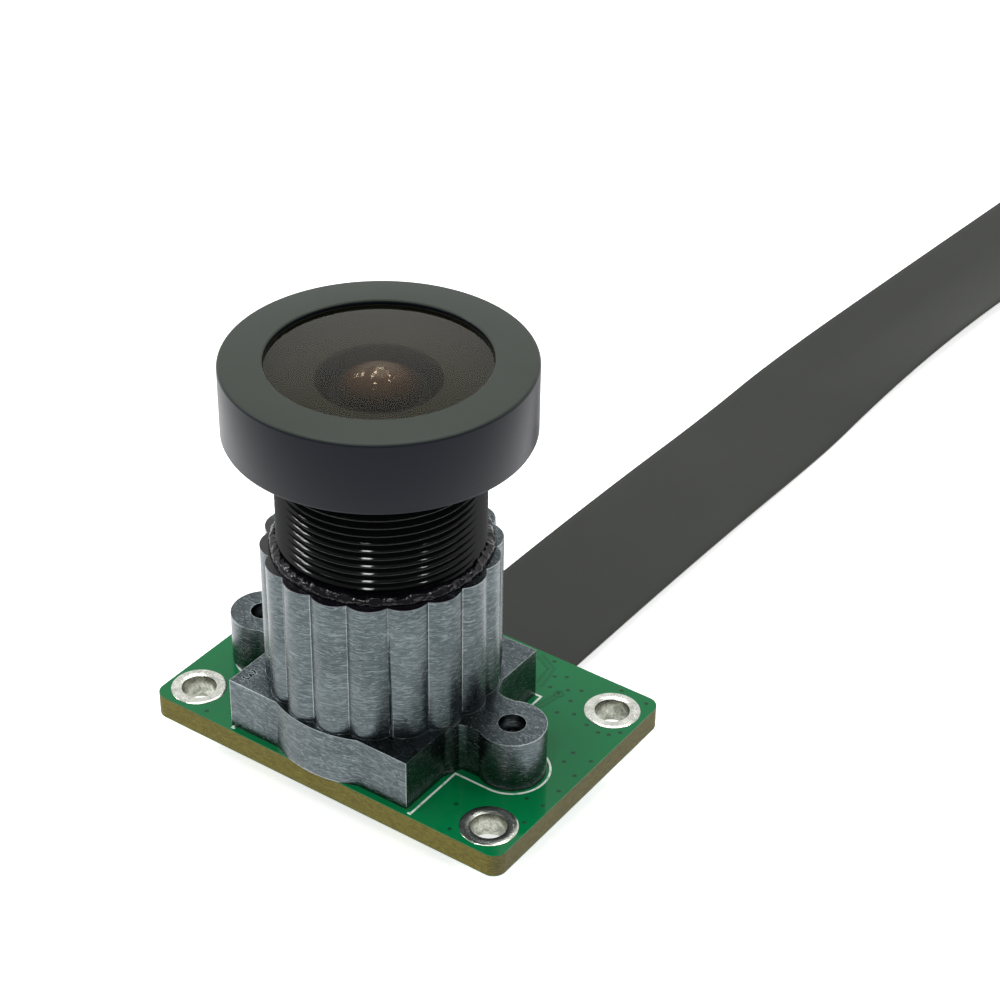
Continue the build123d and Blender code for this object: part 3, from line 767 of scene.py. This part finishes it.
barrel = turned(
    "barrel_body",
    lens_x,
    lens_y,
    [
        (ledge_bore, barrel_bottom),
        (thread_root - 0.2 * mm, barrel_bottom),
        (thread_root, barrel_bottom + 0.2 * mm),
        (thread_root, head_bottom),
        (flange_radius, head_bottom),
        (flange_radius, glass_seat),
        (seal_outer, glass_seat),
        (seal_outer, seal_floor),
        (seal_inner, seal_floor),
        (seal_inner, glass_seat),
        (barrel_bore, glass_seat),
        (barrel_bore, ledge_top),
        (ledge_bore, ledge_top),
        (ledge_bore, barrel_bottom),
    ],
    sides=160,
)

thread_turns = int((head_bottom - barrel_bottom) / thread_pitch) - 1
thread_start = barrel_bottom + thread_pitch / 2 + 0.05 * mm
crest = 0.03 * mm
ridge_sunk = 0.1 * mm
ridge_half = 0.24 * mm
ridge_out = thread_radius - thread_root - crest
ridge_steps = [
    (ridge_sunk, 0, 0),
    (ridge_out, 0, ridge_half - crest),
    (crest, 0, crest),
    (-crest, 0, crest),
    (-ridge_out, 0, ridge_half - crest),
    (-ridge_sunk, 0, 0),
]
bpy.ops.object.select_all(action="DESELECT")
bpy.ops.mesh.primitive_plane_add(size=mm, location=(0, 0, 0))
thread = bpy.context.object
edit(thread)
bpy.ops.mesh.select_all(action="SELECT")
bpy.ops.mesh.merge(type="CENTER")
bpy.ops.transform.translate(value=(thread_root - ridge_sunk, 0, -ridge_half))
for step in ridge_steps:
    bpy.ops.mesh.extrude_region_move(TRANSFORM_OT_translate={"value": step})
bpy.ops.mesh.select_all(action="SELECT")
bpy.ops.mesh.edge_face_add()
leave_edit()
apply_modifier(
    thread,
    "SCREW",
    screw_offset=thread_pitch,
    iterations=thread_turns,
    steps=112,
    render_steps=112,
    use_merge_vertices=True,
    merge_threshold=1e-7,
)
thread.location = (lens_x, lens_y, thread_start)
settle(thread, "barrel_thread")
edit(thread)
bpy.ops.mesh.select_all(action="SELECT")
bpy.ops.mesh.normals_make_consistent(inside=False)
leave_edit()
smooth(thread, 50)


def paint_barrel(shade):
    grain = shade.noise(7000, 3.0, 0.6)
    cloud = shade.noise(900, 3.0, 0.6)
    return {
        "Base_Color": cloud.blend((0.0010, 0.0018, 0.0014), (0.0030, 0.0042, 0.0036)),
        "Roughness": 0.05 + grain * 0.07,
        "Normal": bump(grain, 0.006 * mm, 0.3),
    }


barrel_finish = finish("barrel_finish", paint_barrel, IOR=1.33)
for piece in (barrel, thread):
    dress(piece, barrel_finish)
    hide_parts("lens_barrel")

# Lens stack inside the barrel
# Ground glass elements with blackened spacer rings between them, an aperture stop in the middle
# and a retaining ring on top. The topmost element is the small dome that shows in the bowl.
dome_radius = 2.85 * mm
dome_height = 2.75 * mm
element_radius = 4.2 * mm
retainer_top = 22.6 * mm
retainer_bottom = 21.8 * mm
second_top = 21.8 * mm
second_bottom = 21.0 * mm
hollow_radius = 2.25 * mm
hollow_height = 0.8 * mm
# Height and softness of the dome's painted amber reflection towards its top.
sheen_from = 1.8 * mm
sheen_soft = 1.0 * mm


def cap_arc(radius, rise, top, steps):
    """The profile of a round lens surface from its rim up to its middle."""
    ball = (radius**2 + rise**2) / (2 * rise)
    reach = math.degrees(math.asin(radius / ball))
    return arc((0, top + rise - ball), ball, 90 - reach, 90, steps)


second_lens = turned(
    "second_lens_dome",
    lens_x,
    lens_y,
    [(0, second_bottom + hollow_height)]
    + cap_arc(hollow_radius, hollow_height, second_bottom, 12)[-2::-1]
    + [(element_radius, second_bottom), (element_radius, second_top)]
    + cap_arc(dome_radius, dome_height, second_top, 28),
)


def paint_dome(shade):
    cloud = shade.noise(500, 2.0, 0.5)
    height = shade.place().part("Z") + cloud * 0.5 * mm
    olive = cloud.blend((0.010, 0.009, 0.004), (0.015, 0.013, 0.006))
    # The dome is dark olive, and towards its top it is painted amber: a painted reflection of its
    # coating.
    amber_sheen = (0.052, 0.021, 0.006)
    return {"Base_Color": height.above(second_top + sheen_from, sheen_soft).blend(olive, amber_sheen)}


black_finish = speckled(
    "black_finish", (0.003, 0.003, 0.0025), (0.006, 0.0058, 0.005),
    scale=8000, rough=(0.55, 0.2), IOR=1.25,
)
lens_look = {"scale": 300, "Roughness": 0.0, "IOR": 1.62}
lens_tints = (0.90, 0.93, 0.90), (0.94, 0.96, 0.93)
amber_coat = (1.0, 0.62, 0.40, 1)
magenta_coat = (1.0, 0.25, 0.80, 1)
lens_finish = clear_finish("lens_finish", *lens_tints, Specular_Tint=amber_coat, **lens_look)
coated_finish = clear_finish("coated_finish", *lens_tints, Specular_Tint=magenta_coat, **lens_look)
dome_finish = finish(
    "dome_finish",
    paint_dome,
    Roughness=0.0,
    IOR=1.5,
    Transmission_Weight=0.1,
    Specular_Tint=(1.0, 0.82, 0.68, 1),
)
dress(second_lens, dome_finish)
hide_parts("second_lens")
dress_node("third_lens", coated_finish)
for name in ("fourth_lens", "fifth_lens", "rear_lens"):
    dress_node(name, lens_finish)
for name in ("front_spacer", "middle_spacer", "stop_spacer", "rear_spacer", "aperture_stop"):
    dress_node(name, black_finish)

retainer_bore = 2.95 * mm
retainer_edge = 0.3 * mm
retainer = turned(
    "retainer_ring",
    lens_x,
    lens_y,
    [
        (retainer_bore, retainer_bottom),
        (element_radius, retainer_bottom),
        (element_radius, retainer_top),
        (retainer_bore + retainer_edge, retainer_top),
        (retainer_bore, retainer_top - retainer_edge),
        (retainer_bore, retainer_bottom),
    ],
)
dress(retainer, black_finish)
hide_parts("element_retainer")

# Front glass and its seal
# A thick meniscus, nearly flat in front and hollowed behind into a deep bowl. Its coating gives
# the reflected light a brownish cast. It is painted dark behind, and sealed by a rubber ring.
glass_radius = 6.75 * mm
glass_top = 25.12 * mm
glass_floor = glass_seat + 0.02 * mm
glass_edge = 0.05 * mm
front_zone = 6.15 * mm
front_sag = 0.3 * mm
bowl_radius = 3.4 * mm
bowl_depth = 1.85 * mm
front_glass = turned(
    "front_glass_meniscus",
    lens_x,
    lens_y,
    [(0, glass_floor + bowl_depth)]
    + cap_arc(bowl_radius, bowl_depth, glass_floor, 20)[-2::-1]
    + [(glass_radius - glass_edge, glass_floor), (glass_radius, glass_floor + glass_edge)]
    + [(glass_radius, glass_top - glass_edge), (glass_radius - glass_edge, glass_top)]
    + cap_arc(front_zone, front_sag, glass_top, 20),
    sides=160,
)

# The clear part bends the view of the dome. Its coating reflects by the angle of view, and light
# on its way to what lies behind goes straight through, so that the bowl isn't black.
glass_index = 1.42
coat_index = 1.5
clear_tint = (0.92, 0.90, 0.84, 1)
coat_tint = (0.10, 0.092, 0.045, 1)
let_through_tint = (0.86, 0.85, 0.80, 1)
front_glass_finish = bpy.data.materials.new("front_glass_finish")
front_glass_finish.use_nodes = True
glass_tree = front_glass_finish.node_tree
glass_tree.nodes.clear()
glass_shade = Shade(glass_tree)
clear_body = glass_shade.node(
    "ShaderNodeBsdfPrincipled",
    Base_Color=clear_tint,
    Roughness=0.0,
    IOR=glass_index,
    Specular_IOR_Level=0.0,
    Specular_Tint=(0.0, 0.0, 0.0, 1),
    Transmission_Weight=1.0,
)
coat = glass_shade.node(
    "ShaderNodeBsdfPrincipled", Base_Color=coat_tint, Roughness=0.0, Metallic=1.0
)
coat_share = glass_shade.node("ShaderNodeFresnel", IOR=coat_index)
coated = glass_shade.node("ShaderNodeMixShader", _0=coat_share, _1=clear_body, _2=coat)
shadow_ray = glass_shade.node("ShaderNodeLightPath", output="Is Shadow Ray")
diffuse_ray = glass_shade.node("ShaderNodeLightPath", output="Is Diffuse Ray")
let_through = glass_shade.node("ShaderNodeBsdfTransparent", Color=let_through_tint)
glass = glass_shade.node(
    "ShaderNodeMixShader", _0=shadow_ray + diffuse_ray, _1=coated, _2=let_through
)
glass_output = glass_tree.nodes.new("ShaderNodeOutputMaterial")
glass_tree.links.new(glass.socket, glass_output.inputs["Surface"])
glass_back_finish = speckled(
    "glass_back_finish", (0.016, 0.0155, 0.009), (0.020, 0.0195, 0.012),
    scale=300, detail=2.0, harsh=0.5, rough=(0.6, 0.1), IOR=1.2,
)
dress(front_glass, front_glass_finish)
front_glass.data.materials.append(glass_back_finish)
for face in front_glass.data.polygons:
    from_axis = math.hypot(face.center.x - lens_x, face.center.y - lens_y)
    if from_axis > bowl_radius and face.center.z < glass_top:
        face.material_index = 1
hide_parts("front_glass")

rubber_finish = speckled(
    "rubber_finish", (0.012, 0.012, 0.012), (0.022, 0.022, 0.021), scale=6000, rough=(0.6, 0.2)
)
dress_node("front_seal", rubber_finish)

# Front cap
# The wide head, turned from aluminium and anodised satin black, screwed over the flange.
# Its thin lip clamps the front glass, and its outer edge is rounded over.
head_top = cap_high.z
cap_radius = (cap_high.x - cap_low.x) / 2
opening_radius = 6.2 * mm
cap_edge = 0.2 * mm
cap_crown = 0.05 * mm
lower_edge = 0.2 * mm
lip_edge = 0.06 * mm
front_cap = turned(
    "front_cap_ring",
    lens_x,
    lens_y,
    [
        (flange_radius, head_bottom),
        (cap_radius - lower_edge, head_bottom),
        (cap_radius - lip_edge, head_bottom + lip_edge),
        (cap_radius, head_bottom + lower_edge),
    ]
    + arc((cap_radius - cap_edge, head_top - cap_crown - cap_edge), cap_edge, 0, 84, 10)
    + [
        (opening_radius + 0.08 * mm, head_top),
        (opening_radius, head_top - lip_edge),
        (opening_radius, glass_top),
        (glass_radius + 0.05 * mm, glass_top),
        (glass_radius + 0.05 * mm, glass_seat),
        (flange_radius, glass_seat),
        (flange_radius, head_bottom),
    ],
    sides=192,
)


def paint_cap(shade):
    grain = shade.noise(12000, 3.0, 0.65)
    cloud = shade.noise(250, 2.0, 0.5)
    rings = shade.noise(1.0, 2.0, 0.5, stretch=(200, 200, 12000))
    # The front face is painted far lighter and greener than the side: painted light on the face.
    # The side keeps the dark anodised colour.
    face = shade.place().part("Z").above(head_top - 0.12 * mm, 0.08 * mm)
    side = cloud.blend((0.0018, 0.0034, 0.0078), (0.0034, 0.0054, 0.0110))
    front = cloud.blend((0.032, 0.039, 0.032), (0.040, 0.048, 0.040))
    return {
        "Base_Color": face.blend(side, front),
        "Roughness": 0.30 + grain * 0.12,
        "Normal": bump(grain * 0.6 + rings * 0.4, 0.006 * mm),
    }


dress(front_cap, finish("cap_finish", paint_cap, IOR=1.24))
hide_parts("lens_front_cap")

# Thread adhesive
# Black resin run round the top of the tower to lock the lens. It fills the lowest turns of the
# thread unevenly and has spread over the lobes' tops in front.
bead_bottom = tower_top + 0.01 * mm
bead_inner = 5.6 * mm
bead_round = 0.46 * mm
bead = turned(
    "thread_resin",
    lens_x,
    lens_y,
    [(bead_inner, bead_bottom), (6.34 * mm, bead_bottom)]
    + arc((5.9 * mm, tower_top + 0.02 * mm), bead_round, 0, 90, 8)
    + [(bead_inner, tower_top + 0.48 * mm), (bead_inner, bead_bottom)],
    sides=360,
)
edit(bead)
bpy.ops.mesh.select_all(action="SELECT")
bpy.ops.mesh.subdivide(number_cuts=1)
leave_edit()
ripple = bpy.data.textures.new("ripple", "CLOUDS")
ripple.noise_scale = 0.6 * mm
ripple.noise_depth = 4
apply_modifier(
    bead,
    "DISPLACE",
    texture=ripple,
    strength=0.24 * mm,
    mid_level=0.6,
    texture_coords="LOCAL",
)
smooth(bead, 60)


def paint_resin(shade):
    cloud = shade.noise(900, 3.0, 0.6, warp=0.8)
    return {
        "Base_Color": cloud.blend((0.001, 0.001, 0.002), (0.005, 0.004, 0.007)),
        "Roughness": 0.05 + cloud * 0.12,
        "Normal": bump(shade.noise(2600, 3.0, 0.6), 0.05 * mm, 0.7),
    }


dress(bead, finish("resin_finish", paint_resin, IOR=1.38))
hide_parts("thread_adhesive")

# Ribbon connector
# A low moulded housing soldered under the board's back edge by eighteen tails and two end tabs.
# The dark slider pushes in over the ribbon and locks it.


def softened(name, new_name, material, edge, body="module"):
    """A copy of a block-shaped CAD node with its moulded edges rounded, in the node's place."""
    piece = bpy.data.objects.new(new_name, nodes[name].data.copy())
    bpy.context.scene.collection.objects.link(piece)
    edit(piece)
    bpy.ops.mesh.select_all(action="SELECT")
    bpy.ops.mesh.remove_doubles(threshold=1e-7)
    bpy.ops.mesh.dissolve_limited(angle_limit=math.radians(1))
    leave_edit()
    bevel_over(piece, 40, edge)
    smooth(piece)
    dress(piece, material, body)
    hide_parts(name)


def paint_housing(shade):
    grain = shade.noise(6000, 3.0, 0.6)
    cloud = shade.noise(300, 2.0, 0.5)
    return {
        "Base_Color": cloud.blend((0.60, 0.52, 0.38), (0.68, 0.60, 0.45)),
        "Roughness": 0.45 + grain * 0.2,
        "Normal": bump(grain, 0.01 * mm, 0.4),
    }


slider_finish = speckled(
    "slider_finish", (0.016, 0.016, 0.016), (0.030, 0.030, 0.028),
    scale=6000, rough=(0.45, 0.2), relief=(0.01 * mm, 0.4),
)
gold_finish = speckled(
    "gold_finish", (0.72, 0.47, 0.17), (0.90, 0.66, 0.30),
    scale=7000, rough=(0.22, 0.2), Metallic=1.0,
)
housing_finish = finish("housing_finish", paint_housing)
softened("connector_housing", "housing", housing_finish, 0.05 * mm)
softened("connector_lock", "lock_slider", slider_finish, 0.05 * mm, "lock")
softened("connector_contacts", "contact_tails", gold_finish, 0.03 * mm)
softened("connector_tabs", "solder_tabs", tin_finish, 0.03 * mm)

# Small parts under the board
# Two moulded tantalum blocks, two regulators, a clock oscillator in its metal can, a memory chip,
# and chip capacitors and resistors, all soldered to the underside.
tantalum_finish = speckled(
    "tantalum_finish", (0.62, 0.40, 0.08), (0.74, 0.50, 0.13),
    scale=5000, rough=(0.45, 0.2), relief=(0.02 * mm, 0.5),
)
package_finish = speckled(
    "package_finish", (0.014, 0.014, 0.015), (0.032, 0.032, 0.033),
    scale=7000, rough=(0.5, 0.2), relief=(0.02 * mm, 0.5),
)
ceramic_finish = speckled(
    "ceramic_finish", (0.42, 0.28, 0.17), (0.52, 0.37, 0.24),
    scale=9000, detail=2.0, rough=(0.4, 0.2),
)
small_parts = [
    ("tantalum_capacitor_1", "tantalum_block_1", tantalum_finish, "tantalum", 0.05),
    ("voltage_regulator_1", "regulator_1", package_finish, "package", 0.03),
    ("tantalum_capacitor_2", "tantalum_block_2", tantalum_finish, "tantalum", 0.05),
    ("voltage_regulator_2", "regulator_2", package_finish, "package", 0.03),
    ("clock_oscillator", "oscillator_can", gold_finish, "oscillator", 0.05),
    ("memory_chip", "memory_block", package_finish, "package", 0.04),
]
for number in range(1, 7):
    names = (f"ceramic_capacitor_{number}", f"chip_capacitor_{number}")
    small_parts.append((*names, ceramic_finish, "ceramic", 0.02))
for number in range(1, 5):
    names = (f"resistor_{number}", f"chip_resistor_{number}")
    small_parts.append((*names, package_finish, "package", 0.02))
for name, new_name, material, slot, edge in small_parts:
    softened(name, new_name, material, edge * mm)

# Ribbon cable
# A flat flexible strip 9.4 mm wide that leaves the connector under the board's back edge.
# It drops to the surface the module stands on and runs along it to its bare end.
ribbon_width = 9.4 * mm
ribbon_thickness = 0.2 * mm
ribbon_route = [
    (0.06, 4.25, -0.9),
    (0.06, 17.0, -0.9),
    (0.06, 30.0, -1.2),
    (0.06, 42.0, -1.8),
    (0.06, 52.0, -1.8),
    (1.3, 70.0, -1.8),
    (3.1, 94.0, -1.8),
    (4.3, 118.0, -1.8),
    (5.7, 137.0, -1.8),
    (6.7, 154.0, -1.8),
]


def along_route(route):
    """The points of the smooth line that has the route's points as its control points."""
    line = bpy.data.curves.new("route", "CURVE")
    line.dimensions = "3D"
    spline = line.splines.new("NURBS")
    spline.points.add(len(route) - 1)
    for point, place in zip(spline.points, route):
        point.co = (*(Vector(place) * mm), 1.0)
    spline.order_u = 3
    spline.use_endpoint_u = True
    spline.resolution_u = 16
    carrier = bpy.data.objects.new("route", line)
    bpy.context.scene.collection.objects.link(carrier)
    bpy.context.view_layer.update()
    drawn = carrier.evaluated_get(bpy.context.evaluated_depsgraph_get())
    mesh = bpy.data.meshes.new_from_object(drawn)
    points = [vertex.co.copy() for vertex in mesh.vertices]
    bpy.data.objects.remove(carrier)
    bpy.data.meshes.remove(mesh)
    return points


ribbon_line = along_route(ribbon_route)
ribbon_rows = len(ribbon_line)
ribbon_columns = 17
bpy.ops.object.select_all(action="DESELECT")
bpy.ops.mesh.primitive_grid_add(
    x_subdivisions=ribbon_columns - 1, y_subdivisions=ribbon_rows - 1, size=2
)
ribbon = settle(bpy.context.object, "ribbon")
# The ribbon lies in one gentle wave: its right edge lifts off the surface around lift_y.
lift_edge = 1.1 * mm
lift_y = 66 * mm
lift_reach = 24 * mm
lift_start = -0.2
lift_power = 1.5
for vertex in ribbon.data.vertices:
    row = round((vertex.co.y + 1) / 2 * (ribbon_rows - 1))
    here = ribbon_line[row]
    before = ribbon_line[max(row - 1, 0)]
    after = ribbon_line[min(row + 1, ribbon_rows - 1)]
    ahead = (after - before).normalized()
    across = ahead.cross(Vector((0, 0, 1))).normalized()
    side = vertex.co.x
    raised = max(0.0, 1 - ((here.y - lift_y) / lift_reach) ** 2) ** 2
    outward = max(0.0, side - lift_start) / (1 - lift_start)
    rise = lift_edge * raised * outward**lift_power
    vertex.co = here + across * side * ribbon_width / 2 + Vector((0, 0, rise))
apply_modifier(ribbon, "SOLIDIFY", thickness=ribbon_thickness, offset=0.0)
bevel_over(ribbon, 50, 0.05 * mm)
smooth(ribbon, 50)


def paint_ribbon(shade):
    cloud = shade.noise(180, 3.0, 0.5)
    grain = shade.noise(6000, 2.0, 0.6)
    mixed = cloud * 0.6 + grain * 0.4
    return {
        "Base_Color": mixed.blend((0.018, 0.020, 0.017), (0.029, 0.031, 0.027)),
        "Roughness": 0.42 + grain * 0.12,
        "Normal": bump(grain, 0.01 * mm, 0.5),
    }


dress(ribbon, finish("ribbon_finish", paint_ribbon, IOR=1.28))
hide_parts("ribbon_cable")

stiffener_finish = speckled(
    "stiffener_finish", (0.010, 0.050, 0.190), (0.014, 0.070, 0.250),
    scale=5000, detail=2.0, rough=(0.35, 0.2),
)
ribbon_ends = [
    dress_node("ribbon_near_stiffener", stiffener_finish),
    dress_node("ribbon_far_stiffener", stiffener_finish),
    dress_node("ribbon_far_contacts", gold_finish),
]

# Floor and lights
# The module stands on a plain pale floor in soft studio light, with white all round it. One wide
# lamp is overhead and a smaller one behind. Two in front leave the glints on the thread, and five
# small ones the glints on the dome.
floor_gap = 0.02 * mm
floor_glow = 0.70
bpy.ops.object.select_all(action="DESELECT")
bpy.ops.mesh.primitive_plane_add(size=3, location=(0, 0, cad_box[0].z - floor_gap))
floor = settle(bpy.context.object, "floor")
floor_finish = bpy.data.materials.new("floor_finish")
floor_finish.use_nodes = True
floor_tree = floor_finish.node_tree
floor_shader = floor_tree.nodes["Principled BSDF"]
floor_shader.inputs["Base Color"].default_value = (0.85, 0.85, 0.85, 1)
floor_shader.inputs["Roughness"].default_value = 0.9
floor_shader.inputs["Specular IOR Level"].default_value = 0.0
floor_shader.inputs["Emission Strength"].default_value = 1.0
seen_by = Shade(floor_tree)
# The camera and reflections see the floor glow, which keeps it white around the shadow.
camera_ray = seen_by.node("ShaderNodeLightPath", output="Is Camera Ray")
glossy_ray = seen_by.node("ShaderNodeLightPath", output="Is Glossy Ray")
transmission_ray = seen_by.node("ShaderNodeLightPath", output="Is Transmission Ray")
seen = camera_ray.maths("ADD", camera_ray + glossy_ray, transmission_ray, use_clamp=True)
glow = (seen * floor_glow).blend((0, 0, 0), (1, 1, 1))
floor_tree.links.new(glow.socket, floor_shader.inputs["Emission Color"])
floor.data.materials.append(floor_finish)

# The world gives an even ambient light. Reflections see it at full strength on the far side of
# the module, half as bright overhead, and as a dimmer room on the near side.
ambient = 0.55
room = 0.30
world = bpy.data.worlds.new("studio")
bpy.context.scene.world = world
world.use_nodes = True
sky = world.node_tree
background = sky.nodes["Background"]
air = Shade(sky)
camera_seen = air.node("ShaderNodeLightPath", output="Is Camera Ray")
mirrored = air.maths(
    "ADD",
    air.node("ShaderNodeLightPath", output="Is Glossy Ray"),
    air.node("ShaderNodeLightPath", output="Is Transmission Ray"),
    use_clamp=True,
)
direction = air.node("ShaderNodeTexCoord", output="Generated")
far_side = (-0.569, 0.823, 0.0)
facing = air.node(
    "ShaderNodeVectorMath", {"operation": "DOT_PRODUCT"}, output=1, _0=direction, _1=far_side
)
upward = direction.part("Z").above(0.70, 0.15)
backdrop = room + facing.above(0.0, 0.35) * (1.0 - room) * (1.0 - upward * 0.5)
strength = ambient + camera_seen * (1.0 - ambient) + mirrored * (backdrop - ambient)
background.inputs["Color"].default_value = (1, 1, 1, 1)
sky.links.new(strength.socket, background.inputs["Strength"])


def lamp(name, azimuth, elevation, distance, width, height, power):
    """An area lamp in that direction from the middle of the lens, turned to face it."""
    data = bpy.data.lights.new(name, "AREA")
    data.shape = "RECTANGLE"
    data.size = width
    data.size_y = height
    data.energy = power
    made = bpy.data.objects.new(name, data)
    bpy.context.scene.collection.objects.link(made)
    turn = math.radians(azimuth)
    rise = math.radians(elevation)
    level = math.cos(rise)
    away = Vector((math.sin(turn) * level, -math.cos(turn) * level, math.sin(rise)))
    target = Vector((lens_x, lens_y, 10 * mm))
    turned_to_lens = away.to_track_quat("Z", "Y").to_matrix().to_4x4()
    made.matrix_world = Matrix.Translation(target + away * distance) @ turned_to_lens


lamp("overhead", 200, 78, 0.7, 0.5, 0.5, 1.2)
lamp("behind", 214, 56, 0.8, 0.20, 0.20, 0.5)
lamp("window_left", 16, 56, 0.8, 0.09, 0.10, 0.9)
lamp("window_right", 93, 56, 0.8, 0.035, 0.10, 0.30)
ceiling_directions = [(283, 42), (248, 73), (308, 71), (296, 42), (134, 63)]
for number, (azimuth, elevation) in enumerate(ceiling_directions, 1):
    lamp(f"ceiling_{number}", azimuth, elevation, 0.8, 0.10, 0.10, 0.62)
bpy.context.scene.view_settings.view_transform = "Standard"
